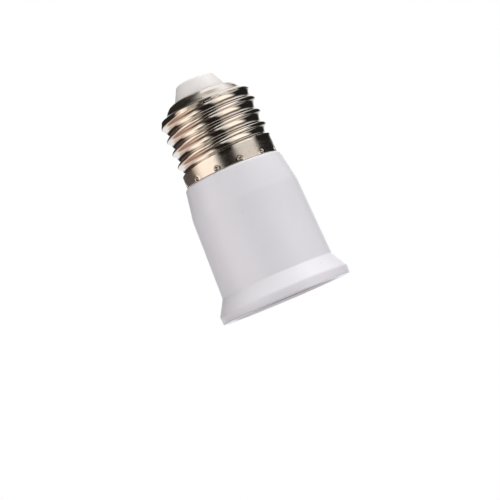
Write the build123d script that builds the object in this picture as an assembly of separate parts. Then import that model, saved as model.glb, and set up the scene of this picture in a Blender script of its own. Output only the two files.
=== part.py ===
from build123d import *
import math
import os

# Lamp socket adapter: a white moulded body holds a female screw socket in its flared mouth and carries a male
# screw cap on its neck. Millimetres, +Z up along the axis, origin at the centre of the mouth rim,
# on which the adapter stands.

# Lamp screw thread, size E27: right-handed and round in section, rolled in thin sheet
PITCH = 3.629
SHEET = 0.32
CREST_R = 13.05
THREAD_DEPTH = 1.03
THREAD_STEPS = 5
FADE_TURNS = 0.5

# Screw cap above the shoulder of the body
CAP_TURNS = 4.33
CAP_START_DEG = 247.0
SKIRT_STEP = 0.28
SKIRT_H = 3.2
DOME_STEP = 1.62
DOME_FOOT_H = 0.8
DOME_SIDE_H = 1.3
DOME_SIDE_LEAN = 0.78
CROWN_H = 0.9
CROWN_EDGE = 1.05
LIP_W = 0.45

# Socket in the mouth, which takes a lamp with the same thread
THREAD_PLAY = 0.3
SOCKET_DEPTH = 25.5
SOCKET_LIP = 0.3
SOCKET_START_DEG = 0.0
SOCKET_PLAIN_H = 1.3

# Moulded body
SHELL_GAP = 0.15
WALL_MOUTH = 1.61
WALL_TOP = 0.93
RIM_OVERHANG = 2.47
RIM_BAND = 2.2
RIM_EDGE = 0.3
RIM_SOFTNESS = 2.0
FLARE_H = 4.3
FLARE_SOFTNESS = 3.0
TAPER_H = 8.3
SHOULDER_LEDGE = 0.58
SHOULDER_SOFTNESS = 0.7
MOUTH_STEP = 0.45
MOUTH_DEPTH = 5.2
MOUTH_LEAD_IN = 0.6
COLLAR_H = 2.6
NECK_GAP = 0.15
NECK_WALL = 2.05
NECK_DROP = 0.9
NOSE_R = 7.25
NOSE_TAPER = 2.15
NOSE_H = 4.25
NOSE_SOFTNESS = 0.9
NOSE_WALL = 1.2
NOSE_ROOF = 2.1

# Contacts and fasteners
CARRIER_T = 2.5
CARRIER_GAP = 0.12
STRIP_T = 0.4
STRIP_W = 3.0
STRIP_EXIT_H = 7.1
STRIP_PAD_H = 4.0
LEAF_T = 0.35
LEAF_W = 4.0
LEAF_PAD = 3.1
LEAF_RUN = 4.2
LEAF_SLOPE_DEG = 32.0
LEAF_TIP = 0.9
CREEPAGE = 1.0
TAG_W = 2.4
TAG_REACH = 5.2
RIVET_R = 0.7
RIVET_HEAD_R = 1.15
RIVET_HEAD_H = 0.45
RIVET_EDGE = 0.25
SCREW_INSET = 1.8
SCREW_R = 0.8
SCREW_HEAD_R = 1.6
SCREW_HEAD_H = 1.1
SCREW_GRIP = 4.5
TIP_R = 2.6
TIP_PROUD = 0.3
TIP_SHANK_R = 1.5
TIP_TAIL_R = 2.2
TIP_TAIL_H = 0.6
LEAD_R = 0.6
LEAD_RISE = 13.5
LEAD_BEND_R = 6.5
HOLE_GAP = 0.06
SLOT_GAP = 0.15

# Radii that follow
ROOT_R = CREST_R - THREAD_DEPTH
SKIRT_R = CREST_R - SKIRT_STEP
CAP_BORE_R = ROOT_R - SHEET
DOME_R = ROOT_R - DOME_STEP
NOSE_HOLE_R = NOSE_R + NECK_GAP
NECK_R = CAP_BORE_R - NECK_GAP
COLLAR_R = SKIRT_R - SHEET - NECK_GAP
CHAMBER_R = NECK_R - NECK_WALL
NOSE_TIP_R = NOSE_R - NOSE_TAPER
CORE_R = NOSE_TIP_R - NOSE_WALL
SOCKET_R = CREST_R + THREAD_PLAY
SOCKET_OUT_R = SOCKET_R + SHEET
BORE_R = SOCKET_OUT_R + SHELL_GAP
MOUTH_R = BORE_R + MOUTH_STEP
RIM_TOP_R = BORE_R + WALL_MOUTH
RIM_R = RIM_TOP_R + RIM_OVERHANG
BEND_R = BORE_R + WALL_TOP
SHOULDER_R = SKIRT_R + SHOULDER_LEDGE

# Places of the contacts and fasteners across the axis
STRIP_UP_X = math.sqrt((CHAMBER_R - SLOT_GAP) ** 2 - (STRIP_W / 2) ** 2)
STRIP_OUT_X = math.sqrt(CAP_BORE_R**2 - (STRIP_W / 2) ** 2) - HOLE_GAP
SHELL_RIVET_X = STRIP_UP_X - STRIP_T - RIVET_EDGE - RIVET_HEAD_R
FLANGE_HOLE_R = SHELL_RIVET_X - RIVET_HEAD_R - RIVET_EDGE
LEAF_START_X = -math.sqrt((FLANGE_HOLE_R - CREEPAGE) ** 2 - (LEAF_W / 2) ** 2)
LEAF_RIVET_X = LEAF_START_X + LEAF_PAD / 2
LEAF_BEND_X = LEAF_START_X + LEAF_PAD
SCREW_Y = CHAMBER_R + SCREW_INSET

# Heights that follow, from the mouth plane
LEDGE_Z = SOCKET_DEPTH + CARRIER_T
SHOULDER_Z = LEDGE_Z + TAPER_H
COLLAR_Z = SHOULDER_Z + COLLAR_H
THREAD_Z = SHOULDER_Z + SKIRT_H
THREAD_END_Z = THREAD_Z + CAP_TURNS * PITCH
DOME_Z = THREAD_END_Z + DOME_FOOT_H
CAP_TOP_Z = DOME_Z + DOME_SIDE_H + CROWN_H
NOSE_Z = CAP_TOP_Z + NOSE_H
ROOF_Z = NOSE_Z - NOSE_ROOF
FLANGE_Z = SOCKET_DEPTH - SHEET
SOCKET_Z = MOUTH_DEPTH + SOCKET_LIP
STRIP_EXIT_Z = COLLAR_Z + STRIP_EXIT_H
LEAF_Z = SOCKET_DEPTH - LEAF_T
TAG_TOP_Z = LEDGE_Z + STRIP_T


def turned(*corners):
    """Revolve a closed outline of (radius, height) corners; a third number rounds that corner."""
    outline = make_face(Polyline(*[corner[:2] for corner in corners], close=True)).face()
    for corner in corners:
        if len(corner) == 3:
            vertex = outline.vertices().sort_by_distance(Vector(*corner[:2]))[0]
            outline = outline.fillet_2d(corner[2], [vertex])
    return revolve(Plane.XZ * outline, Axis.Z)


def rod(x, y, radius, low, high):
    """Upright cylinder at x, y between two heights."""
    return Pos(x, y, low) * extrude(Circle(radius), high - low)


def strip(points, thickness, width):
    """Bent sheet-metal strip: its path lies in the XZ plane and its thickness is on the path's left."""
    band = Polyline(*points).wire().offset_2d(thickness, Kind.INTERSECTION, Side.LEFT)
    return extrude(Plane.XZ * make_face(band), width / 2, both=True)


def rivet(x, y, low, high):
    """Rivet with flat heads outside the stack that lies between two heights."""
    head = rod(x, y, RIVET_HEAD_R, low - RIVET_HEAD_H, low)
    tail = rod(x, y, RIVET_HEAD_R, high, high + RIVET_HEAD_H)
    return rod(x, y, RIVET_R, low, high) + head + tail


def rivet_hole(x, y):
    """Clearance hole for a rivet, long enough to pass the whole carrier stack."""
    return rod(x, y, RIVET_R + HOLE_GAP, FLANGE_Z - CARRIER_T, LEDGE_Z + CARRIER_T)


def screw_hole(y):
    """Clearance hole for a carrier screw in the flange and the carrier."""
    return rod(0, y, SCREW_R + HOLE_GAP, FLANGE_Z - CARRIER_T, LEDGE_Z)


def level(z, radius):
    """Circle round the axis at height z."""
    return Wire.make_circle(radius, Plane((0, 0, z)))


def rolled_thread(low_z, turns, start_deg, mean_r, low_r, high_r):
    """Levels of a right-handed round thread: circles that orbit the axis once a pitch, each centre standing
    towards the crest. The orbit grows out of a plain low_r at the bottom and fades to high_r at the top."""
    count = math.ceil(turns * THREAD_STEPS)
    levels = []
    for i in range(count + 1):
        turn = turns * i / count
        growth = min(1, turn / FADE_TURNS, (turns - turn) / FADE_TURNS)
        end_r = low_r if turn < turns / 2 else high_r
        orbit = growth * THREAD_DEPTH / 2
        angle = math.radians(start_deg + 360 * turn)
        centre = (orbit * math.cos(angle), orbit * math.sin(angle), low_z + turn * PITCH)
        levels.append(Wire.make_circle(end_r + growth * (mean_r - end_r), Plane(centre)))
    return levels


def screw_shell():
    """Screw cap: plain skirt, thread and domed end lofted as one skin, then hollowed."""
    thread_r = CREST_R - THREAD_DEPTH / 2
    thread = rolled_thread(THREAD_Z, CAP_TURNS, CAP_START_DEG, thread_r, SKIRT_R, ROOT_R)
    dome = [
        level(DOME_Z, DOME_R),
        level(DOME_Z + DOME_SIDE_H, DOME_R - DOME_SIDE_LEAN),
        level(CAP_TOP_Z - SHEET, NOSE_HOLE_R + LIP_W + CROWN_EDGE),
        level(CAP_TOP_Z, NOSE_HOLE_R + LIP_W),
    ]
    skin = Solid.make_loft([level(SHOULDER_Z, SKIRT_R)] + thread + dome, ruled=True)
    hollow = turned(
        (0, SHOULDER_Z),
        (SKIRT_R - SHEET, SHOULDER_Z),
        (SKIRT_R - SHEET, THREAD_Z - SHEET),
        (CAP_BORE_R, THREAD_Z + SHEET),
        (CAP_BORE_R, THREAD_END_Z - SHEET),
        (DOME_R - SHEET, DOME_Z - SHEET),
        (NOSE_HOLE_R + LIP_W, CAP_TOP_Z - 2 * SHEET),
        (NOSE_HOLE_R, CAP_TOP_Z - 2 * SHEET),
        (NOSE_HOLE_R, CAP_TOP_Z),
        (0, CAP_TOP_Z),
    )
    return skin - hollow


def neutral_strip():
    """Brass strip from a shell rivet up the chamber and out through the neck to the cap's inside wall."""
    path = [
        (SHELL_RIVET_X - STRIP_W / 2, LEDGE_Z),
        (STRIP_UP_X, LEDGE_Z),
        (STRIP_UP_X, STRIP_EXIT_Z),
        (STRIP_OUT_X, STRIP_EXIT_Z),
        (STRIP_OUT_X, STRIP_EXIT_Z + STRIP_PAD_H),
    ]
    return strip(path, STRIP_T, STRIP_W) - rivet_hole(SHELL_RIVET_X, 0)


def strip_way():
    """Slot through the neck for the neutral strip, and a pocket in the neck's side for its turned-up end."""
    low = STRIP_EXIT_Z - SLOT_GAP
    width = STRIP_W + 2 * SLOT_GAP
    slot = strip([(STRIP_UP_X - STRIP_T, low), (CREST_R, low)], STRIP_T + 2 * SLOT_GAP, width)
    pocket_x = STRIP_OUT_X - STRIP_T - SLOT_GAP
    pocket = strip([(pocket_x, low), (CREST_R, low)], STRIP_PAD_H + 2 * SLOT_GAP, width)
    return slot + pocket


def housing():
    """One moulding: flared body, neck inside the cap and nose, open from the mouth up to the nose."""
    body = turned(
        (MOUTH_R + MOUTH_LEAD_IN, 0),
        (RIM_R - RIM_EDGE, 0),
        (RIM_R, RIM_EDGE),
        (RIM_R, RIM_BAND, RIM_SOFTNESS),
        (RIM_TOP_R, RIM_BAND + FLARE_H, FLARE_SOFTNESS),
        (BEND_R, LEDGE_Z),
        (SHOULDER_R, SHOULDER_Z, SHOULDER_SOFTNESS),
        (COLLAR_R, SHOULDER_Z),
        (COLLAR_R, COLLAR_Z),
        (NECK_R, COLLAR_Z),
        (NECK_R, THREAD_END_Z - NECK_DROP),
        (NOSE_R, CAP_TOP_Z - NECK_DROP),
        (NOSE_R, CAP_TOP_Z),
        (NOSE_TIP_R, NOSE_Z, NOSE_SOFTNESS),
        (TIP_SHANK_R + HOLE_GAP, NOSE_Z),
        (TIP_SHANK_R + HOLE_GAP, ROOF_Z),
        (CORE_R, ROOF_Z),
        (CORE_R, CAP_TOP_Z - NECK_WALL),
        (CHAMBER_R, THREAD_END_Z - NECK_WALL),
        (CHAMBER_R, LEDGE_Z),
        (BORE_R, LEDGE_Z),
        (BORE_R, MOUTH_DEPTH),
        (MOUTH_R, MOUTH_DEPTH),
        (MOUTH_R, MOUTH_LEAD_IN),
    )
    pilot_top = LEDGE_Z + SCREW_GRIP + SLOT_GAP
    pilots = [rod(0, y, SCREW_R + HOLE_GAP, LEDGE_Z, pilot_top) for y in (-SCREW_Y, SCREW_Y)]
    return body - pilots - strip_way()


def socket_shell():
    """Socket shell: a tube threaded inside, with an in-turned flange that lies against the carrier."""
    cup = turned(
        (FLANGE_HOLE_R, SOCKET_Z),
        (SOCKET_OUT_R, SOCKET_Z),
        (SOCKET_OUT_R, SOCKET_DEPTH),
        (FLANGE_HOLE_R, SOCKET_DEPTH),
    )
    thread_z = SOCKET_Z + SOCKET_PLAIN_H
    turns = (FLANGE_Z - SOCKET_PLAIN_H - thread_z) / PITCH
    thread_r = SOCKET_R - THREAD_DEPTH / 2
    thread = rolled_thread(thread_z, turns, SOCKET_START_DEG, thread_r, SOCKET_R, SOCKET_R)
    hollow = Solid.make_loft([level(SOCKET_Z, SOCKET_R)] + thread + [level(FLANGE_Z, SOCKET_R)], ruled=True)
    return cup - hollow - flange_holes()


def flange_holes():
    """Holes that the flange and the carrier share."""
    rivets = [rivet_hole(x, 0) for x in (-SHELL_RIVET_X, SHELL_RIVET_X)]
    return rivets + [screw_hole(y) for y in (-SCREW_Y, SCREW_Y)]


def contact_carrier():
    """Insulating disc between the socket and the ledge."""
    disc = rod(0, 0, BORE_R - CARRIER_GAP, SOCKET_DEPTH, LEDGE_Z)
    return disc - flange_holes() - rivet_hole(LEAF_RIVET_X, 0)


def centre_contact_spring():
    """Leaf with a flat riveted pad, a blade that slopes towards the lamp and a turned-up tip."""
    slope = math.radians(LEAF_SLOPE_DEG)
    tip_x = LEAF_BEND_X + LEAF_RUN * math.cos(slope)
    tip_z = LEAF_Z - LEAF_RUN * math.sin(slope)
    path = [
        (LEAF_START_X, LEAF_Z),
        (LEAF_BEND_X, LEAF_Z),
        (tip_x, tip_z),
        (tip_x + LEAF_TIP * math.cos(slope), tip_z + LEAF_TIP * math.sin(slope)),
    ]
    return strip(path, LEAF_T, LEAF_W) - rivet_hole(LEAF_RIVET_X, 0)


def live_tag():
    """Flat solder tag under the tail of the centre contact's rivet."""
    length = TAG_REACH + TAG_W / 2
    plate = Pos(LEAF_RIVET_X, length / 2 - TAG_W / 2, LEDGE_Z + STRIP_T / 2) * Box(TAG_W, length, STRIP_T)
    return plate - rivet_hole(LEAF_RIVET_X, 0)


def live_lead():
    """Insulated wire from the tag up to the tail of the tip contact."""
    start = Vector(LEAF_RIVET_X, TAG_REACH - TAG_W / 2, TAG_TOP_Z)
    knee = start + Vector(0, 0, LEAD_RISE)
    end = Vector(-LEAD_R, LEAD_R, ROOF_Z - TIP_TAIL_H - LEAD_R / 2)
    route = FilletPolyline(start, knee, end, radius=LEAD_BEND_R)
    return sweep(Plane(start) * Circle(LEAD_R), route)


def carrier_screw(y):
    """Screw through the flange and the carrier into the body."""
    shank = rod(0, y, SCREW_R, FLANGE_Z, LEDGE_Z + SCREW_GRIP)
    return shank + rod(0, y, SCREW_HEAD_R, FLANGE_Z - SCREW_HEAD_H, FLANGE_Z)


def tip_contact():
    """Rivet through the roof of the nose, low on the outside and upset on the inside."""
    return (
        rod(0, 0, TIP_SHANK_R, ROOF_Z, NOSE_Z)
        + rod(0, 0, TIP_R, NOSE_Z, NOSE_Z + TIP_PROUD)
        + rod(0, 0, TIP_TAIL_R, ROOF_Z - TIP_TAIL_H, ROOF_Z)
    )


def group(*solids):
    """Separate solids that share one node."""
    return Compound([solid.solid() for solid in solids])


pieces = {
    "housing": housing(),
    "screw_shell": screw_shell(),
    "tip_contact": tip_contact(),
    "socket_shell": socket_shell(),
    "contact_carrier": contact_carrier(),
    "shell_rivets": group(
        rivet(-SHELL_RIVET_X, 0, FLANGE_Z, LEDGE_Z),
        rivet(SHELL_RIVET_X, 0, FLANGE_Z, TAG_TOP_Z),
    ),
    "carrier_screws": group(carrier_screw(-SCREW_Y), carrier_screw(SCREW_Y)),
    "centre_contact_spring": centre_contact_spring(),
    "centre_contact_rivet": rivet(LEAF_RIVET_X, 0, LEAF_Z, TAG_TOP_Z),
    "live_tag": live_tag(),
    "live_lead": live_lead(),
    "neutral_strip": neutral_strip(),
}

os.makedirs("parts", exist_ok=True)
for name, piece in pieces.items():
    export_step(piece, f"parts/{name}.step")
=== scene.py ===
# %% [markdown]
# # Lamp socket adapter
# The adapter is a white moulded body with a nickel-plated screw cap on its neck and a threaded socket in
# its mouth. This lesson dresses the measured solids: it rebuilds the rolled sheet and the moulding as fine
# meshes, gives every piece the material that the real one is made of, and lights the whole like a small
# studio set.

# %% Load the measured frame
import math

import bmesh
import bpy
import numpy as np
from mathutils import Matrix, Vector


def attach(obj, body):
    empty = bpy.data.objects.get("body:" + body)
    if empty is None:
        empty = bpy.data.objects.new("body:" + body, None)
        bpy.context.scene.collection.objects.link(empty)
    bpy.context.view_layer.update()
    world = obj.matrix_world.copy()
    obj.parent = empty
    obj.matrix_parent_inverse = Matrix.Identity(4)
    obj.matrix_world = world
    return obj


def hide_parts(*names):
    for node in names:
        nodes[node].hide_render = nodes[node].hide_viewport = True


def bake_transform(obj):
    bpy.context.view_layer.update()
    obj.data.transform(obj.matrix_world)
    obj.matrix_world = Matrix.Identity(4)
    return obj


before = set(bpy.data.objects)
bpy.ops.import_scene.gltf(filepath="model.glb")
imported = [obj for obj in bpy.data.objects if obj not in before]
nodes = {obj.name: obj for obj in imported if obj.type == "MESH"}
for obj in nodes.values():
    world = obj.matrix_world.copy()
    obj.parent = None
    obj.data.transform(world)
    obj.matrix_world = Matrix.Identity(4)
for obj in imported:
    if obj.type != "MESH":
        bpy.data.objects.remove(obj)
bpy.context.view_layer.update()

MM = 0.001
print("nodes", sorted(nodes))

# %% [markdown]
# ## Small helpers for meshes
# Nearly every piece here is turned, rolled or punched, so it is a grid of points: rows along an outline and
# columns round the axis. One function turns such a grid into a mesh. Sizes are written in millimetres, and
# the mesh is scaled to metres when it is made.

# %% Outlines with rounded corners
def outline(*corners, steps=6):
    """Points along a path of (radius, height) corners; a third number rounds that corner with an arc."""
    points = []
    for i, corner in enumerate(corners):
        here = np.array(corner[:2], float)
        if len(corner) == 2:
            points.append(here)
            continue
        before = np.array(corners[i - 1][:2], float) - here
        after = np.array(corners[(i + 1) % len(corners)][:2], float) - here
        before /= np.linalg.norm(before)
        after /= np.linalg.norm(after)
        half = math.acos(np.clip(before @ after, -1, 1)) / 2
        centre = here + (before + after) / np.linalg.norm(before + after) * corner[2] / math.sin(half)
        start = here + before * corner[2] / math.tan(half) - centre
        end = here + after * corner[2] / math.tan(half) - centre
        for share in np.linspace(0, 1, steps + 1):
            swing = start * (1 - share) + end * share
            points.append(centre + swing / np.linalg.norm(swing) * corner[2])
    return np.array(points)


print("one rounded corner makes", len(outline((0, 0), (5, 0, 1), (5, 5))) - 2, "points")


# %% From a mesh to a piece
def finished(name, mesh, sharp_deg=35.0):
    """Weld the mesh, turn its faces outwards, smooth its shading and give it an object."""
    build = bmesh.new()
    build.from_mesh(mesh)
    bmesh.ops.remove_doubles(build, verts=build.verts, dist=1e-7)
    bmesh.ops.dissolve_degenerate(build, edges=build.edges, dist=1e-8)
    bmesh.ops.recalc_face_normals(build, faces=build.faces)
    build.to_mesh(mesh)
    build.free()
    mesh.shade_smooth()
    mesh.set_sharp_from_angle(angle=math.radians(sharp_deg))
    piece = bpy.data.objects.new(name, mesh)
    bpy.context.scene.collection.objects.link(piece)
    return piece


# %% From a grid of points to a mesh
def skin(name, grid, loop=True, sharp_deg=35.0):
    """Mesh over a grid of (row, column, xyz) points in millimetres. Columns run round the axis, and loop
    joins the last row to the first, as a hollow turned piece needs."""
    rows, columns, _ = grid.shape
    index = np.arange(rows * columns).reshape(rows, columns)
    beside = np.roll(index, -1, axis=1)
    quads = np.stack([index, beside, np.roll(beside, -1, axis=0), np.roll(index, -1, axis=0)], axis=-1)
    if not loop:
        quads = quads[:-1]
    mesh = bpy.data.meshes.new(name)
    mesh.from_pydata((grid.reshape(-1, 3) * MM).tolist(), [], quads.reshape(-1, 4).tolist())
    return finished(name, mesh, sharp_deg)


def turned(name, points, columns=192, at=(0.0, 0.0), loop=True, sharp_deg=35.0):
    """Piece turned about an upright axis at x, y from an outline of (radius, height) points."""
    angle = np.linspace(0, 2 * math.pi, columns, endpoint=False)
    grid = np.zeros((len(points), columns, 3))
    grid[..., 0] = at[0] + points[:, :1] * np.cos(angle)
    grid[..., 1] = at[1] + points[:, :1] * np.sin(angle)
    grid[..., 2] = points[:, 1:]
    return skin(name, grid, loop, sharp_deg)


# %% Dressing a piece
def dress(piece, material, slot, *stands_for, body="adapter"):
    """Give a piece its material, the nodes that it stands for and its body. The slot is not used."""
    piece.data.materials.clear()
    piece.data.materials.append(material)
    if stands_for:
        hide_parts(*stands_for)
    if body:
        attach(piece, body)
    print(piece.name, len(piece.data.polygons), "faces")
    return piece


# %% [markdown]
# ## Small helpers for materials
# Colours are written as sRGB hex values, as a colour picker shows them, and one function turns them to the
# linear values that shaders use. One more function adds a node, sets it and links it.

# %% Colour and node helpers
def linear(hex_colour):
    """Linear RGBA of an sRGB hex colour."""
    shares = [int(hex_colour[i:i + 2], 16) / 255 for i in (1, 3, 5)]
    return [s / 12.92 if s <= 0.04045 else ((s + 0.055) / 1.055) ** 2.4 for s in shares] + [1.0]


def add(tree, kind, sockets=(), **settings):
    """Add a node. Settings are its properties; sockets are values, or outputs of other nodes to link."""
    made = tree.nodes.new(kind)
    for key, value in settings.items():
        setattr(made, key, value)
    for key, value in dict(sockets).items():
        if isinstance(value, bpy.types.NodeSocket):
            tree.links.new(value, made.inputs[key])
        else:
            made.inputs[key].default_value = value
    return made


def material(name):
    """Empty material with its node tree and its output."""
    made = bpy.data.materials.new(name)
    made.use_nodes = True
    made.node_tree.nodes.clear()
    return made, made.node_tree, made.node_tree.nodes.new("ShaderNodeOutputMaterial")


print("middle grey is", round(linear("#808080")[0], 3), "in linear light")

# %% [markdown]
# ## White moulded PBT
# The body is injection-moulded PBT, filled with white pigment. The steel mould was polished to a satin
# finish, so the eye sees a cool, slightly lavender white with soft broad highlights. The pigment clouds the
# colour by a percent or two, and two dust specks sit in the surface. The nose is coloured warmer and darker;
# the darkening is painted shade, for the dimmer light that falls on the nose.
# One flat colour would look unfinished. Noise in the object's own space gives these drifts with no unwrapped
# map, and keeps its size in millimetres.

# %% White PBT material
PBT_WHITE = "#DAD8DD"
PBT_CLOUD = "#D5D3D9"
PBT_SPECK = "#A9A4AC"
# painted shade: the nose colour is darker than the body's, standing in for the dimmer light on the nose, and
# warmer
PBT_NOSE_SHADED, NOSE_SHADE_Z = "#D1CECC", (57.0, 58.5)
PBT_CLOUD_MM = 9.0
PBT_GRAIN_MM, PBT_GRAIN_DEPTH_MM = 0.45, 0.02
PBT_ROUGHNESS, PBT_IOR = (0.30, 0.36), 1.55
SPECKS_MM = [(-1.7, -14.7, 24.2, 0.13), (11.6, -11.7, 4.75, 0.16)]


def white_pbt():
    made, tree, out = material("white_moulded_pbt")
    place = add(tree, "ShaderNodeTexCoord").outputs["Object"]
    cloud = add(tree, "ShaderNodeTexNoise", {"Vector": place, "Scale": 1 / (PBT_CLOUD_MM * MM),
                                             "Detail": 3.0})
    colour = add(tree, "ShaderNodeMix", {0: cloud.outputs["Fac"], 6: linear(PBT_WHITE), 7: linear(PBT_CLOUD)},
                 data_type="RGBA").outputs[2]
    for x, y, z, radius in SPECKS_MM:
        gap = add(tree, "ShaderNodeVectorMath", {0: place, 1: (x * MM, y * MM, z * MM)}, operation="DISTANCE")
        spot = add(tree, "ShaderNodeMapRange", {"Value": gap.outputs["Value"], "From Min": radius * MM * 1.4,
                                                "From Max": radius * MM * 0.5})
        colour = add(tree, "ShaderNodeMix", {0: spot.outputs[0], 6: colour, 7: linear(PBT_SPECK)},
                     data_type="RGBA").outputs[2]
    level = add(tree, "ShaderNodeSeparateXYZ", {0: place}).outputs["Z"]
    # painted shade: from these heights up the nose takes a darker, warmer colour, standing in for the dimmer
    # light on it
    nose_shade = add(tree, "ShaderNodeMapRange", {"Value": level, "From Min": NOSE_SHADE_Z[0] * MM,
                                            "From Max": NOSE_SHADE_Z[1] * MM})
    colour = add(tree, "ShaderNodeMix", {0: nose_shade.outputs[0], 6: colour, 7: linear(PBT_NOSE_SHADED)},
                 data_type="RGBA").outputs[2]
    # the mould's satin grain is finer than a pixel, so it is drawn coarser than it is, and very shallow
    grain = add(tree, "ShaderNodeTexNoise", {"Vector": place, "Scale": 1 / (PBT_GRAIN_MM * MM),
                                             "Detail": 2.0})
    bump = add(tree, "ShaderNodeBump", {"Height": grain.outputs["Fac"], "Strength": 0.06,
                                        "Distance": PBT_GRAIN_DEPTH_MM * MM})
    gloss = add(tree, "ShaderNodeMapRange", {"Value": cloud.outputs["Fac"], "To Min": PBT_ROUGHNESS[0],
                                             "To Max": PBT_ROUGHNESS[1]})
    shader = add(tree, "ShaderNodeBsdfPrincipled", {
        "Base Color": colour, "Roughness": gloss.outputs[0], "IOR": PBT_IOR, "Normal": bump.outputs[0]})
    tree.links.new(shader.outputs[0], out.inputs[0])
    return made


pbt = white_pbt()
print(pbt.name, len(pbt.node_tree.nodes), "nodes")

# %% [markdown]
# ## Nickel-plated rolled sheet
# The screw cap and the socket are thin sheet, drawn and rolled in tools and then plated with bright nickel.
# Nickel is a warm grey metal. Rolling burnishes the thread to a mirror and leaves faint lines round the part.
# The skirt, the dome and the socket keep the satin shine of drawn sheet, and handling leaves small softer
# patches. Anisotropy could stretch the highlights along the lines. A shallow bump of stretched noise does
# that too, and shows the lines themselves. The height on the part tells satin stretches from bright thread.

# %% Nickel material
NICKEL = "#DBD3CA"
NICKEL_TONED = "#D3C9BD"
ROLL_LINE_MM, ROLL_DEPTH_MM = 0.16, 0.01
ROLL_STRETCH = (0.02, 0.02, 1.0)
TONE_MM = 5.0
THREAD_ROUGHNESS = (0.045, 0.085)
SATIN = {"skirt": (41.0, 39.6, 0.2), "dome": (55.3, 56.3, 0.14)}  # first height, full height, roughness


def plated_nickel():
    made, tree, out = material("bright_nickel_plate")
    place = add(tree, "ShaderNodeTexCoord").outputs["Object"]
    stretched = add(tree, "ShaderNodeMapping", {"Vector": place, "Scale": ROLL_STRETCH})
    lines = add(tree, "ShaderNodeTexNoise", {"Vector": stretched.outputs[0], "Scale": 1 / (ROLL_LINE_MM * MM),
                                             "Detail": 3.0})
    tone = add(tree, "ShaderNodeTexNoise", {"Vector": place, "Scale": 1 / (TONE_MM * MM), "Detail": 4.0})
    colour = add(tree, "ShaderNodeMix", {0: tone.outputs["Fac"], 6: linear(NICKEL), 7: linear(NICKEL_TONED)},
                 data_type="RGBA")
    gloss = add(tree, "ShaderNodeMapRange", {"Value": tone.outputs["Fac"], "From Min": 0.3, "From Max": 0.7,
                                             "To Min": THREAD_ROUGHNESS[0], "To Max": THREAD_ROUGHNESS[1]})
    level = add(tree, "ShaderNodeSeparateXYZ", {0: place}).outputs["Z"]
    shine = gloss.outputs[0]
    for first, full, roughness in SATIN.values():
        satin = add(tree, "ShaderNodeMapRange", {"Value": level, "From Min": first * MM,
                                                 "From Max": full * MM, "To Max": roughness})
        shine = add(tree, "ShaderNodeMath", {0: shine, 1: satin.outputs[0]}, operation="MAXIMUM").outputs[0]
    bump = add(tree, "ShaderNodeBump", {"Height": lines.outputs["Fac"], "Strength": 0.06,
                                        "Distance": ROLL_DEPTH_MM * MM})
    shader = add(tree, "ShaderNodeBsdfPrincipled", {
        "Base Color": colour.outputs[2], "Metallic": 1.0, "Roughness": shine, "Normal": bump.outputs[0]})
    tree.links.new(shader.outputs[0], out.inputs[0])
    return made


nickel = plated_nickel()
print(nickel.name, len(nickel.node_tree.nodes), "nodes")

# %% [markdown]
# ## Metals and mouldings inside
# The contacts are stamped brass and phosphor bronze, the screws are zinc-plated steel, the carrier is a
# pressed thermoset and the lead has PVC insulation. Five node trees would say the same thing five times, so
# they share one recipe: a base colour that drifts to a second tone, a roughness that drifts with it, and a
# fine relief whose size is given in millimetres.

# %% Recipe of the inner materials
def toned(name, hexes, metallic, roughness, patch_mm, grain_mm, relief_mm, stretch=(1.0, 1.0, 1.0), ior=1.5):
    """Material whose colour and roughness drift between two values, over a fine relief."""
    made, tree, out = material(name)
    place = add(tree, "ShaderNodeTexCoord").outputs["Object"]
    patch = add(tree, "ShaderNodeTexNoise", {"Vector": place, "Scale": 1 / (patch_mm * MM), "Detail": 4.0})
    drawn = add(tree, "ShaderNodeMapping", {"Vector": place, "Scale": stretch})
    grain = add(tree, "ShaderNodeTexNoise", {"Vector": drawn.outputs[0], "Scale": 1 / (grain_mm * MM)})
    colour = add(tree, "ShaderNodeMix", {0: patch.outputs["Fac"], 6: linear(hexes[0]), 7: linear(hexes[1])},
                 data_type="RGBA")
    gloss = add(tree, "ShaderNodeMapRange", {"Value": patch.outputs["Fac"], "From Min": 0.3, "From Max": 0.7,
                                             "To Min": roughness[0], "To Max": roughness[1]})
    bump = add(tree, "ShaderNodeBump", {"Height": grain.outputs["Fac"], "Strength": 0.3,
                                        "Distance": relief_mm * MM})
    shader = add(tree, "ShaderNodeBsdfPrincipled", {
        "Base Color": colour.outputs[2], "Metallic": metallic, "Roughness": gloss.outputs[0], "IOR": ior,
        "Normal": bump.outputs[0]})
    tree.links.new(shader.outputs[0], out.inputs[0])
    return made


# %% Materials of the inner pieces
# stamping leaves brass a soft yellow shine
brass = toned("stamped_brass", ("#E3C27E", "#C9A45C"), 1.0, (0.18, 0.32),
              patch_mm=2.5, grain_mm=0.2, relief_mm=0.01)
# rolling draws fine lines along the redder bronze
bronze = toned("rolled_phosphor_bronze", ("#DDA874", "#C08A58"), 1.0, (0.20, 0.30),
               patch_mm=2.0, grain_mm=0.12, relief_mm=0.01, stretch=(0.05, 1.0, 1.0))
# zinc is a cool grey, and duller than nickel
zinc = toned("zinc_plated_steel", ("#C4C8CC", "#AEB3B8"), 1.0, (0.25, 0.40),
             patch_mm=1.5, grain_mm=0.2, relief_mm=0.01)
# a pressed thermoset is a dull ivory
thermoset = toned("pressed_urea_thermoset", ("#D2CDC0", "#C6C0B2"), 0.0, (0.42, 0.55),
                  patch_mm=4.0, grain_mm=0.5, relief_mm=0.03, ior=1.56)
# extruded PVC is smooth, with a dull sheen
insulation = toned("pvc_wire_insulation", ("#A8221C", "#951C18"), 0.0, (0.40, 0.50),
                   patch_mm=3.0, grain_mm=0.4, relief_mm=0.02, ior=1.53)
print("materials", [m.name for m in bpy.data.materials])

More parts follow.
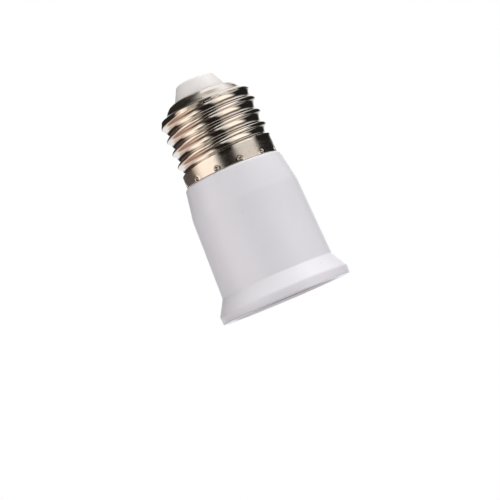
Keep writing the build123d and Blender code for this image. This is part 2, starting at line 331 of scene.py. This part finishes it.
# %% [markdown]
# ## The moulded body
# On the bench the body is one moulding, open from its mouth up to the roof of its nose. It is turned from
# one closed outline, with the small radii that a mould leaves on its edges. Over the shoulder runs a groove,
# into which the skirt of the screw cap is punched. Blender's Screw modifier could turn the outline too, but
# a grid made in code serves every other turned piece as well. The way for the neutral strip and the two
# screw pilots are cut with booleans, as cores form them in the mould.

# %% Cutters
def block(low, high):
    """Plain box between two corners, used only to cut."""
    corners = [(x, y, z) for x in (low[0], high[0]) for y in (low[1], high[1]) for z in (low[2], high[2])]
    sides = [(0, 1, 3, 2), (4, 6, 7, 5), (0, 4, 5, 1), (2, 3, 7, 6), (0, 2, 6, 4), (1, 5, 7, 3)]
    mesh = bpy.data.meshes.new("cutter")
    mesh.from_pydata([[c * MM for c in corner] for corner in corners], [], sides)
    return finished("cutter", mesh)


def rod(x, y, radius, low, high, columns=32):
    """Upright round cutter."""
    return turned("cutter", np.array([(0, low), (radius, low), (radius, high), (0, high)]), columns, (x, y),
                  loop=False)


def cut(piece, *cutters, sharp_deg=35.0):
    """Take the cutters out of a piece with exact booleans and delete them."""
    for cutter in cutters:
        step = piece.modifiers.new("cut", "BOOLEAN")
        step.operation, step.solver, step.object = "DIFFERENCE", "EXACT", cutter
    graph = bpy.context.evaluated_depsgraph_get()
    mesh = bpy.data.meshes.new_from_object(piece.evaluated_get(graph))
    name, old = piece.name, piece.data
    for gone in [piece, *cutters]:
        bpy.data.objects.remove(gone)
    bpy.data.meshes.remove(old)
    return finished(name, mesh, sharp_deg)


# %% Body outline
RIM_R, RIM_H = 17.9, 2.2
FLARE_TOP_R, FLARE_TOP_Z = 15.43, 6.5
BEND_R, BEND_Z = 14.75, 28.0
SHOULDER_R, SHOULDER_Z = 13.35, 36.3
COLLAR_R, COLLAR_Z = 12.30, 38.9
CRIMP_R, CRIMP_TOP_Z = 11.5, 37.9
NECK_R, NECK_TOP_Z = 11.55, 54.3
NOSE_R, NOSE_LOW_Z, NOSE_FOOT_Z = 7.25, 57.3, 58.2
NOSE_TIP_R, NOSE_Z = 5.1, 62.46
ROOF_Z, CORE_R, CORE_Z = 60.36, 3.9, 56.16
CHAMBER_R, CHAMBER_TOP_Z = 9.5, 53.16
BORE_R = 13.82
MOUTH_R, MOUTH_Z = 14.27, 5.2
TIP_HOLE_R = 1.56

body_outline = outline(
    (MOUTH_R + 0.6, 0.0, 0.15),
    (RIM_R - 0.12, 0.0, 0.25),
    (RIM_R, RIM_H, 1.4),
    (FLARE_TOP_R, FLARE_TOP_Z, 0.8),
    (BEND_R, BEND_Z, 9.0),
    (SHOULDER_R, SHOULDER_Z, 0.7),
    (CRIMP_R, SHOULDER_Z, 0.1),
    (CRIMP_R, CRIMP_TOP_Z, 0.2),
    (COLLAR_R, CRIMP_TOP_Z, 0.2),
    (COLLAR_R, COLLAR_Z, 0.2),
    (NECK_R, COLLAR_Z, 0.2),
    (NECK_R, NECK_TOP_Z, 1.0),
    (NOSE_R, NOSE_LOW_Z, 0.3),
    (NOSE_R, NOSE_FOOT_Z, 0.5),
    (NOSE_TIP_R, NOSE_Z, 1.1),
    (TIP_HOLE_R, NOSE_Z),
    (TIP_HOLE_R, ROOF_Z),
    (CORE_R, ROOF_Z, 0.3),
    (CORE_R, CORE_Z, 0.5),
    (CHAMBER_R, CHAMBER_TOP_Z, 0.5),
    (CHAMBER_R, BEND_Z),
    (BORE_R, BEND_Z, 0.2),
    (BORE_R, MOUTH_Z, 0.1),
    (MOUTH_R, MOUTH_Z, 0.2),
    (MOUTH_R, 0.6, 0.3),
)
print("body outline", len(body_outline), "points")

# %% Body with the strip's way and the screw pilots
STRIP_LOW_Z, STRIP_SLOT_TOP_Z, STRIP_POCKET_TOP_Z, STRIP_HALF_W = 45.85, 46.55, 50.15, 1.65
STRIP_SLOT_X, STRIP_POCKET_X, PAST_NECK_X = 8.83, 10.99, 13.0
SCREW_Y, PILOT_R, PILOT_TOP_Z = 11.3, 0.86, 32.65
housing = turned("moulded_body", body_outline, columns=256)
housing = cut(
    housing,
    block((STRIP_SLOT_X, -STRIP_HALF_W, STRIP_LOW_Z), (PAST_NECK_X, STRIP_HALF_W, STRIP_SLOT_TOP_Z)),
    block((STRIP_POCKET_X, -STRIP_HALF_W, STRIP_LOW_Z), (PAST_NECK_X, STRIP_HALF_W, STRIP_POCKET_TOP_Z)),
    rod(0, SCREW_Y, PILOT_R, BEND_Z - 0.5, PILOT_TOP_Z),
    rod(0, -SCREW_Y, PILOT_R, BEND_Z - 0.5, PILOT_TOP_Z),
)
dress(housing, pbt, "white_moulding", "housing")

# %% [markdown]
# ## The rolled screw cap
# The cap is one thin sheet. Its thread is a single round groove that winds upwards: a broad arc makes the
# valley and a narrow one the crest. It was rolled slightly askew, and it runs out into the plain skirt below
# and into the domed end above. Sweeping a profile along a helix would leave both run-outs to be patched by
# hand. A formula for the radius at each angle and height gives the whole skin at once, and the punched
# dimples are added to the same formula.

# %% The round groove as a formula
PITCH = 3.629
THREAD_DEPTH = 1.03
FLANK = 2 * math.atan(2 * THREAD_DEPTH / PITCH)


def groove(across, root_share):
    """Depth of the round groove at a distance from its root: one arc at the root and one at the crest meet at
    the slope of the flank. The root arc takes its share of the pitch."""
    away = np.abs(across)
    root_half = root_share * PITCH / 2
    root_arc, crest_arc = root_half / math.sin(FLANK), (PITCH / 2 - root_half) / math.sin(FLANK)
    root = THREAD_DEPTH - root_arc + np.sqrt(np.maximum(root_arc**2 - away**2, 0))
    crest = crest_arc - np.sqrt(np.maximum(crest_arc**2 - (PITCH / 2 - away) ** 2, 0))
    return np.where(away < root_half, root, crest)


print("flank", round(math.degrees(FLANK), 1), "degrees")


# %% The groove wound into a thread
def smooth(share):
    """Ease from 0 to 1."""
    share = np.clip(share, 0, 1)
    return share * share * (3 - 2 * share)


def winding_groove(angle, height, start_deg, start_z, turns, fade_in, fade_out, first_edge=1.0,
                   root_share=0.5, askew=0.0, askew_deg=0.0):
    """Depth of a right-handed groove that starts at an angle and height, and fades at both ends. The lower
    side of its first turn can be steeper, where it stands against a plain skirt. An askew groove stands
    higher towards one side."""
    height = height - askew * np.cos(angle - math.radians(askew_deg))
    first = np.mod(angle - math.radians(start_deg), 2 * math.pi) / (2 * math.pi)
    turn = first + np.round((height - start_z) / PITCH - first)
    across = height - start_z - turn * PITCH
    steep = first_edge + (1 - first_edge) * smooth((turn - 0.8) / 0.4)
    across = np.where(across < 0, np.maximum(across * steep, -PITCH / 2), across)
    fade = smooth(turn / fade_in) * smooth((turns - turn) / fade_out)
    return groove(across, root_share) * fade


# %% Outline of the screw cap
SHEET = 0.32
CREST_R = 13.05
SKIRT_R = 12.77
NOSE_HOLE_R = 7.4
DIMPLE_Z, DIMPLE_LOW, DIMPLE_HIGH = 37.05, 0.5, 0.8
SKIRT_STEP, THREAD_STEP = 0.08, 0.13


def spaced(points, step):
    """The same path with extra points, so that no run between two of them is longer than step."""
    out = [points[0]]
    for a, b in zip(points[:-1], points[1:]):
        count = max(1, math.ceil(np.linalg.norm(b - a) / step))
        out += [a + (b - a) * k / count for k in range(1, count + 1)]
    return np.array(out)


skirt_outline = outline(
    (SKIRT_R - 0.2, SHOULDER_Z), (SKIRT_R, SHOULDER_Z + 0.2, 0.15), (SKIRT_R, DIMPLE_Z - DIMPLE_LOW))
dimple_outline = np.array([(SKIRT_R, DIMPLE_Z - DIMPLE_LOW), (SKIRT_R, DIMPLE_Z + DIMPLE_HIGH)])
upper_outline = outline(
    (SKIRT_R, DIMPLE_Z + DIMPLE_HIGH),
    (SKIRT_R, 41.0, 1.0),
    (CREST_R, 42.2, 1.0),
    (CREST_R, 53.6, 1.2),
    (12.45, 55.0, 0.5),
    (10.65, 55.8, 0.25),
    (9.95, 56.85, 0.8),
    (9.2, 57.6, 0.8),
    (8.4, 58.02, 1.0),
    (NOSE_HOLE_R + 0.3, 58.2, 0.2),
    (NOSE_HOLE_R, 58.1),
)
cap_outline = np.concatenate([
    spaced(skirt_outline, SKIRT_STEP), spaced(dimple_outline, SKIRT_STEP)[1:],
    spaced(upper_outline, THREAD_STEP)[1:]])
print("cap outline", len(cap_outline), "points")

# %% Columns that crowd at the dimples
FRONT_DEG = -90.0
DIMPLES, DIMPLE_FIRST_DEG = 12, -16.3
CLOSE_HALF, CLOSE_COLUMNS, WIDE_COLUMNS = 0.075, 15, 9
dimple_angles = np.radians(FRONT_DEG + DIMPLE_FIRST_DEG + 360 / DIMPLES * np.arange(DIMPLES))
columns = np.concatenate([
    np.linspace(-CLOSE_HALF, CLOSE_HALF, CLOSE_COLUMNS),
    np.linspace(CLOSE_HALF, 2 * math.pi / DIMPLES - CLOSE_HALF, WIDE_COLUMNS + 2)[1:-1]])
cap_angle = np.sort(np.mod((dimple_angles[:, None] + columns).ravel(), 2 * math.pi))
print("cap columns", len(cap_angle))

# %% Skin of the screw cap
CAP_THREAD = dict(start_deg=90.0, start_z=39.75, turns=4.55, fade_in=0.2, fade_out=0.65, first_edge=1.4,
                  root_share=0.7, askew=0.32, askew_deg=-45.0)
DIMPLE_R, DIMPLE_DEPTH, DIMPLE_LIP = 0.46, 0.70, 0.08
NICK_DEG, NICK_FROM_AXIS, NICK_Z = -9.0, 8.6, 57.85
NICK_R, NICK_DEPTH, NICK_FLATNESS = 0.40, 0.14, 1.6


def arc_length(angle, middle, radius):
    """Distance round the skin from a middle angle."""
    return radius * (np.mod(angle - middle + math.pi, 2 * math.pi) - math.pi)


def cap_surface(points, inset):
    """Grid of the cap's skin, pushed inwards by an inset."""
    angle, height = np.meshgrid(cap_angle, points[:, 1])
    radius = np.minimum(points[:, :1], CREST_R - winding_groove(angle, height, **CAP_THREAD))
    for middle in dimple_angles:
        away = np.hypot(arc_length(angle, middle, SKIRT_R), height - DIMPLE_Z) / DIMPLE_R
        radius = radius - DIMPLE_DEPTH * np.exp(-away**4) + DIMPLE_LIP * np.exp(-((away - 1.5) / 0.35) ** 2)
    round_skin = arc_length(angle, math.radians(FRONT_DEG + NICK_DEG), NICK_FROM_AXIS)
    away = np.hypot(round_skin, NICK_FLATNESS * (height - NICK_Z)) / NICK_R
    radius = radius - NICK_DEPTH * np.exp(-away**2)
    radius = radius - inset
    return np.stack([radius * np.cos(angle), radius * np.sin(angle), height], axis=-1)


# the inside isn't seen, so it has every fifth row
inner_outline = spaced(cap_outline[::-1][::5], 0.6)
cap_grid = np.concatenate([cap_surface(cap_outline, 0.0), cap_surface(inner_outline, SHEET)])
cap = skin("rolled_screw_cap", cap_grid, sharp_deg=60.0)
dress(cap, nickel, "nickel_sheet", "screw_shell")

# %% [markdown]
# ## The socket in the mouth
# The socket is a drawn cup of the same sheet, rolled with a thread of the same pitch so that a lamp screws
# into it. Its end is turned in to a flange, which two rivets and two screws hold against the carrier. The
# sheet keeps its thickness, so the outside of the cup shows the thread too. The formula of the cap serves
# again, here with two equal arcs, and the holes in the flange are cut.

# %% Socket shell
SOCKET_R, SOCKET_Z, FLANGE_Z, SOCKET_TOP_Z = 13.35, 5.5, 25.18, 25.5
FLANGE_HOLE_R, SHELL_RIVET_X, RIVET_HOLE_R = 6.029, 7.429, 0.76
SOCKET_THREAD = dict(start_deg=180.0, start_z=6.8, turns=4.71, fade_in=0.5, fade_out=0.5)
SOCKET_STEP, SOCKET_COLUMNS = 0.25, 240
socket_angle = np.linspace(0, 2 * math.pi, SOCKET_COLUMNS, endpoint=False)
socket_inside = spaced(outline(
    (SOCKET_R, SOCKET_Z + 0.1), (SOCKET_R, FLANGE_Z, 0.35), (FLANGE_HOLE_R, FLANGE_Z, 0.08)), SOCKET_STEP)
socket_outside = spaced(outline(
    (FLANGE_HOLE_R, SOCKET_TOP_Z, 0.08), (SOCKET_R + SHEET, SOCKET_TOP_Z, 0.65),
    (SOCKET_R + SHEET, SOCKET_Z + 0.1), (SOCKET_R + SHEET - 0.1, SOCKET_Z), (SOCKET_R + 0.1, SOCKET_Z)),
    SOCKET_STEP)
socket_points = np.concatenate([socket_inside, socket_outside])
angle, height = np.meshgrid(socket_angle, socket_points[:, 1])
ridge = winding_groove(angle, height, **SOCKET_THREAD) * (socket_points[:, :1] > SOCKET_R - 0.2)
radius = socket_points[:, :1] - ridge
socket = skin("rolled_socket", np.stack([radius * np.cos(angle), radius * np.sin(angle), height], axis=-1),
              sharp_deg=60.0)
socket = cut(
    socket,
    *[rod(x, 0, RIVET_HOLE_R, FLANGE_Z - 1, SOCKET_TOP_Z + 1) for x in (-SHELL_RIVET_X, SHELL_RIVET_X)],
    *[rod(0, y, PILOT_R, FLANGE_Z - 1, SOCKET_TOP_Z + 1) for y in (-SCREW_Y, SCREW_Y)],
    sharp_deg=60.0,
)
dress(socket, nickel, "nickel_sheet", "socket_shell")

# %% [markdown]
# ## The sprung centre contact
# A leaf of phosphor bronze is riveted to the carrier and slopes towards the lamp. It bends where it leaves
# its pad when a lamp pushes it. The mesh is one strip that follows the carrier up to the bend and the blade
# after it.

# %% Strip of sheet metal
def bent_strip(name, path, thickness, width, edge):
    """Sheet-metal strip: a flat section with rounded edges follows a path of (x, z) points."""
    along = np.gradient(path, axis=0)
    along /= np.linalg.norm(along, axis=1, keepdims=True)
    normal = np.stack([-along[:, 1], along[:, 0]], axis=1)
    half_w, half_t = width / 2, thickness / 2
    section = outline(*[(y, t, edge) for y, t in ((-half_w, -half_t), (half_w, -half_t), (half_w, half_t),
                                                  (-half_w, half_t))], steps=3)
    rows = []
    for i, (spot, up) in enumerate(zip(path, normal)):
        ring = np.array([(spot[0] + up[0] * t, y, spot[1] + up[1] * t) for y, t in section])
        middle = np.array([[spot[0], 0.0, spot[1]]])
        if i == 0:
            rows.append(np.repeat(middle, len(section), axis=0))
        rows.append(ring)
        if i == len(path) - 1:
            rows.append(np.repeat(middle, len(section), axis=0))
    return skin(name, np.array(rows), loop=False, sharp_deg=40.0)


# %% Leaf
LEAF_T, LEAF_W, LEAF_EDGE, LEAF_STEP = 0.35, 4.0, 0.1, 0.2
LEAF_PATH = ((-4.614, 25.325), (-1.464, 25.325, 0.6), (2.048, 23.130, 0.55), (2.718, 23.549))
LEAF_RIVET_X, LEAF_HOLE_Z = -3.064, (24.0, 27.0)
leaf = bent_strip("leaf_contact", spaced(outline(*LEAF_PATH), LEAF_STEP), LEAF_T, LEAF_W, LEAF_EDGE)
leaf = cut(leaf, rod(LEAF_RIVET_X, 0, RIVET_HOLE_R, *LEAF_HOLE_Z), sharp_deg=40.0)
dress(leaf, bronze, "spring_bronze", "centre_contact_spring", body=None)
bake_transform(leaf)

# %% [markdown]
# ## Rivets, screws and the tip contact
# A rivet is set with a rounded punch, so its heads are low domes. The screws have pan heads with a cross
# recess. The tip contact is a rivet too, through the roof of the nose. Plain cylinders would leave sharp
# rims where the punch leaves round ones, so each is turned from an outline, and only the recess is cut.

# %% Rivets
LEDGE_Z, TAG_TOP_Z, LEAF_Z = 28.0, 28.4, 25.15
RIVET_R, HEAD_R, HEAD_H = 0.70, 1.15, 0.45


def rivet(name, x, low, high):
    """Rivet whose domed heads hold what lies between two heights."""
    dome = outline((0.0, HEAD_H), (0.62, 0.40, 0.9), (HEAD_R, 0.10, 0.12), (HEAD_R, 0.0))
    points = np.concatenate([
        dome * (1, -1) + (0, low), [(RIVET_R, low), (RIVET_R, high)], dome[::-1] + (0, high)])
    return turned(name, points, 40, (x, 0.0), loop=False)


dress(rivet("shell_rivet_strip_side", SHELL_RIVET_X, FLANGE_Z, TAG_TOP_Z), brass, "contact_brass",
      "shell_rivets")
dress(rivet("shell_rivet_plain_side", -SHELL_RIVET_X, FLANGE_Z, LEDGE_Z), brass, "contact_brass",
      "shell_rivets")
dress(rivet("leaf_rivet", LEAF_RIVET_X, LEAF_Z, TAG_TOP_Z), brass, "contact_brass", "centre_contact_rivet")

# %% Screws
SCREW_LOW_Z, SCREW_HEAD_R, SCREW_R, SCREW_TOP_Z = 24.08, 1.60, 0.80, 32.5
RECESS_L, RECESS_W, RECESS_LOW_Z, RECESS_TOP_Z = 0.95, 0.17, SCREW_LOW_Z - 0.5, SCREW_LOW_Z + 0.6
screw_outline = outline(
    (0.0, SCREW_LOW_Z), (1.0, SCREW_LOW_Z + 0.04, 0.6), (SCREW_HEAD_R, SCREW_LOW_Z + 0.55, 0.3),
    (SCREW_HEAD_R, FLANGE_Z), (SCREW_R, FLANGE_Z), (SCREW_R, SCREW_TOP_Z - 0.9, 0.1),
    (0.25, SCREW_TOP_Z, 0.1), (0.0, SCREW_TOP_Z))
for side, name in ((-1, "carrier_screw_front"), (1, "carrier_screw_back")):
    y = side * SCREW_Y
    screw = turned(name, screw_outline, 48, (0.0, y), loop=False)
    arms = [block((-half_x, y - half_y, RECESS_LOW_Z), (half_x, y + half_y, RECESS_TOP_Z))
            for half_x, half_y in ((RECESS_L, RECESS_W), (RECESS_W, RECESS_L))]
    dress(cut(screw, *arms), zinc, "screw_steel", "carrier_screws")

# %% Tip contact
TIP_R, TIP_PROUD, TIP_SHANK_R, TIP_TAIL_R, TIP_TAIL_H = 2.60, 0.30, 1.50, 2.20, 0.60
tip_outline = outline(
    (0.0, ROOF_Z - TIP_TAIL_H), (TIP_TAIL_R, ROOF_Z - TIP_TAIL_H, 0.2), (TIP_TAIL_R, ROOF_Z),
    (TIP_SHANK_R, ROOF_Z), (TIP_SHANK_R, NOSE_Z), (TIP_R, NOSE_Z), (TIP_R, NOSE_Z + 0.12, 0.08),
    (1.5, NOSE_Z + TIP_PROUD, 1.5), (0.0, NOSE_Z + TIP_PROUD))
dress(turned("tip_rivet", tip_outline, 64, loop=False), brass, "contact_brass", "tip_contact")

# %% [markdown]
# ## Pieces that keep their measured shape
# The carrier is pressed, the tag and the strip are stamped, and the lead is insulated wire. New meshes of
# them would show nothing more, so the measured solids stay and only get their materials.

# %% Materials of the measured pieces
for name, finish in (("contact_carrier", thermoset), ("live_tag", brass), ("neutral_strip", brass),
                     ("live_lead", insulation)):
    nodes[name].data.materials.clear()
    nodes[name].data.materials.append(finish)
    print(name, "keeps its shape")

# %% [markdown]
# ## Stage
# A pale floor, a white surround and five soft boxes. A ready-made surround could light it too, but lamps with
# names can be moved one at a time. The floor is one-sided, because the camera looks up a little from under
# the plane of the mouth, and it is open under the mouth, where the rim covers it, so that light reaches the
# inside.

# %% Floor
FLOOR_GREY = "#E2E1E3"
FLOOR_OUT, FLOOR_IN, FLOOR_Z = 500.0, 17.5, -0.02


def floor_finish():
    made, tree, out = material("pale_studio_floor")
    matt = add(tree, "ShaderNodeBsdfDiffuse", {"Color": linear(FLOOR_GREY)})
    clear = add(tree, "ShaderNodeBsdfTransparent")
    below = add(tree, "ShaderNodeNewGeometry").outputs["Backfacing"]
    mixed = add(tree, "ShaderNodeMixShader", {0: below, 1: matt.outputs[0], 2: clear.outputs[0]})
    tree.links.new(mixed.outputs[0], out.inputs[0])
    return made


floor = turned("floor", np.array([(FLOOR_OUT, FLOOR_Z), (FLOOR_IN, FLOOR_Z)]), columns=96, loop=False)
if floor.data.polygons[0].normal.z < 0:
    floor.data.flip_normals()
floor.data.materials.append(floor_finish())
floor.visible_glossy = False
print("floor", 2 * FLOOR_OUT, "mm across")

# %% White surround
AMBIENT = 0.33
world = bpy.data.worlds.new("studio")
bpy.context.scene.world = world
world.use_nodes = True
world.node_tree.nodes.clear()
tree = world.node_tree
path = add(tree, "ShaderNodeLightPath")
seen = add(tree, "ShaderNodeMath", {0: path.outputs["Is Camera Ray"], 1: path.outputs["Is Glossy Ray"]},
           operation="MAXIMUM")
seen = add(tree, "ShaderNodeMath", {0: seen.outputs[0], 1: path.outputs["Is Transmission Ray"]},
           operation="MAXIMUM")
level = add(tree, "ShaderNodeMapRange", {"Value": seen.outputs[0], "To Min": AMBIENT, "To Max": 1.0})
sky = add(tree, "ShaderNodeBackground", {"Color": linear("#FFFFFF"), "Strength": level.outputs[0]})
tree.links.new(sky.outputs[0], add(tree, "ShaderNodeOutputWorld").inputs[0])
print("surround lights at", AMBIENT, "and looks white")

# %% Soft boxes
MIDDLE = Vector((0.0, 0.0, 0.035))


def round_place(azimuth_deg, elevation_deg, distance):
    """Point at an angle from the camera's side of the object: positive azimuth is to its right."""
    a, e = math.radians(azimuth_deg), math.radians(elevation_deg)
    away = Vector((math.sin(a) * math.cos(e), -math.cos(a) * math.cos(e), math.sin(e)))
    return MIDDLE + away * distance


def soft_box(name, azimuth_deg, elevation_deg, distance, size, watts, colour):
    """Lamp that lights matt surfaces; its face in reflections is a patch of its own."""
    lamp = bpy.data.lights.new(name, "AREA")
    lamp.shape = "RECTANGLE"
    lamp.size, lamp.size_y = size
    lamp.energy = watts
    lamp.color = linear(colour)[:3]
    box = bpy.data.objects.new(name, lamp)
    bpy.context.scene.collection.objects.link(box)
    box.location = round_place(azimuth_deg, elevation_deg, distance)
    box.rotation_euler = (MIDDLE - box.location).to_track_quat("-Z", "Y").to_euler()
    box.visible_camera = box.visible_glossy = False
    print(name, watts, "W")


soft_box("key_box", 95.0, 60.0, 0.9, (0.6, 0.5), 4.2, "#FFFEFC")
soft_box("top_box", 65.0, 80.0, 1.0, (0.6, 0.5), 8.6, "#FFFEFC")
soft_box("front_box", 0.0, 12.0, 1.0, (0.7, 0.4), 0.8, "#FFFCFA")
soft_box("left_box", -70.0, 14.0, 1.0, (0.7, 0.4), 1.6, "#FFFBFA")
soft_box("low_box", 0.0, -82.0, 1.0, (0.6, 0.5), 4.6, "#FFFCFA")

# %% [markdown]
# ## What the metal reflects
# Bright plating shows whatever stands round it, so the faces of the soft boxes, a few cards and black flags
# stand where the light and dark bands of the metal come from. Each is a patch of a large sphere with a
# feathered edge, and only reflections see it. The lamps could show in the metal themselves, but then every
# change of the light would move its bands. On a round skirt, an edge that shows at a share s of the
# half-width stands at an azimuth of twice the arc sine of s: the black stroke from -0.15 to 0.19 asks for a
# flag from about -17 to 22 degrees, and half its feather more on each side. The flanks of the thread tilt
# up and down, so they show what stands above and below.

# %% Feathered patches
PATCH_STEPS = 24
FIRST_PATCH_M, PATCH_GAP_M = 1.72, 0.01
patches = []


def patch_face(name, colour, strength):
    """Glow that fades out where the patch's cover does."""
    made, tree, out = material(name + "_face")
    made.cycles.emission_sampling = "NONE"
    glow = add(tree, "ShaderNodeEmission", {"Color": linear(colour), "Strength": strength})
    clear = add(tree, "ShaderNodeBsdfTransparent")
    amount = add(tree, "ShaderNodeAttribute", attribute_name="cover").outputs["Fac"]
    mixed = add(tree, "ShaderNodeMixShader", {0: amount, 1: clear.outputs[0], 2: glow.outputs[0]})
    tree.links.new(mixed.outputs[0], out.inputs[0])
    return made


def reflected(name, azimuths, elevations, feather_deg, colour, strength, lean=0.0, side_feather=None):
    """Feathered patch of a sphere between two azimuths and two elevations, seen by reflections alone. Each
    stands a little nearer than the one before it, and covers it."""
    distance = FIRST_PATCH_M - PATCH_GAP_M * len(patches)
    u, v = np.meshgrid(np.linspace(0, 1, PATCH_STEPS), np.linspace(0, 1, PATCH_STEPS))
    azimuth = azimuths[0] + u * (azimuths[1] - azimuths[0])
    elevation = elevations[0] + v * (elevations[1] - elevations[0])
    leaning = azimuth + lean * elevation
    points = [round_place(a, e, distance) for a, e in zip(leaning.ravel(), elevation.ravel())]
    index = np.arange(PATCH_STEPS**2).reshape(PATCH_STEPS, PATCH_STEPS)
    quads = np.stack([index[:-1, :-1], index[:-1, 1:], index[1:, 1:], index[1:, :-1]], axis=-1)
    mesh = bpy.data.meshes.new(name)
    mesh.from_pydata(points, [], quads.reshape(-1, 4).tolist())
    side = np.minimum(azimuth - azimuths[0], azimuths[1] - azimuth) / (side_feather or feather_deg)
    edge = np.minimum(side, np.minimum(elevation - elevations[0], elevations[1] - elevation) / feather_deg)
    cover = mesh.attributes.new("cover", "FLOAT", "POINT")
    cover.data.foreach_set("value", smooth(edge.ravel()))
    patch = bpy.data.objects.new(name, mesh)
    bpy.context.scene.collection.objects.link(patch)
    mesh.materials.append(patch_face(name, colour, strength))
    patch.visible_camera = patch.visible_diffuse = patch.visible_shadow = False
    patch.visible_transmission = False
    patches.append(patch)


# %% Faces, cards and flags
# At the height of the skirt: edges stand about where its bands change
reflected("left_pink_card", (-145, -30), (-30, 55), 10, "#FFE8DC", 0.80)
reflected("left_face", (-90, -15), (-20, 65), 20, "#FFF7EE", 1.50)
reflected("far_left_face", (-190, -120), (-45, 15), 20, "#F5F8FF", 1.20)
reflected("left_flag", (-180, -88), (-3, 68), 11, "#FFF0E0", 0.03)
reflected("right_face", (30, 85), (-60, 10), 15, "#FFF9F1", 1.60)
reflected("right_dim_card", (15, 95), (5, 55), 10, "#FFE4CC", 0.28)
reflected("right_flag", (72, 165), (-50, 45), 20, "#FFFFFF", 0.02)
reflected("far_right_face", (160, 200), (-35, 20), 8, "#F5F8FF", 1.40)

# Below: a warm card at the left and a dim one in front, which the lower flanks show
reflected("left_low_card", (-180, -10), (-88, -30), 8, "#FFCCB4", 0.46)
reflected("front_low_card", (-65, 15), (-85, -28), 12, "#FFEAD8", 0.10)

# Above: the dome is dark at the left and bright at the right
reflected("left_top_flag", (-250, 50), (48, 89), 10, "#FFF4EA", 0.03, side_feather=130)
reflected("right_top_face", (50, 180), (40, 89), 10, "#F5F8FF", 1.40)
reflected("top_grey_card", (0, 115), (55, 89), 8, "#FFFAF6", 0.70, side_feather=50)

# In front: the camera's own dark side, which covers all the rest
reflected("front_high_flag", (-60, 15), (15, 58), 18, "#FFE8DC", 0.03)
reflected("front_flag", (-30, 32), (-50, 70), 18, "#FFE8DC", 0.02, lean=0.1)
print("patches", len(patches))

# %% [markdown]
# ## Camera
# The photo shows the adapter leaning to the left, seen from about two degrees under the plane of its mouth.
# The camera stands close, some forty centimetres off and a little under the mouth, so that it looks up at the
# cap more steeply than at the rim. It is rolled, and turns to put the adapter where the photo has it. By eye
# that steepness is easily missed, so these few values were fitted to points on the adapter's outline.

# %% Camera
CAMERA_DISTANCE, CAMERA_DROP = 0.427, 0.013
PAN_DEG, TILT_DEG, ROLL_DEG = -0.519, 3.82, 22.946
FOCAL_PX, FRAME_PX, SENSOR_MM = 1640.0, 500, 36.0
lens = bpy.data.cameras.new("camera")
lens.sensor_width = SENSOR_MM
lens.lens = SENSOR_MM * FOCAL_PX / FRAME_PX
camera = bpy.data.objects.new("camera", lens)
bpy.context.scene.collection.objects.link(camera)
turn = (
    Matrix.Rotation(math.radians(-PAN_DEG), 4, "Z")
    @ Matrix.Rotation(math.radians(90.0 + TILT_DEG), 4, "X")
    @ Matrix.Rotation(math.radians(-ROLL_DEG), 4, "Z")
)
camera.matrix_world = Matrix.Translation((0.0, -CAMERA_DISTANCE, -CAMERA_DROP)) @ turn
bpy.context.scene.camera = camera
bpy.context.scene.view_settings.view_transform = "Standard"
print("lens", round(lens.lens, 1), "mm")
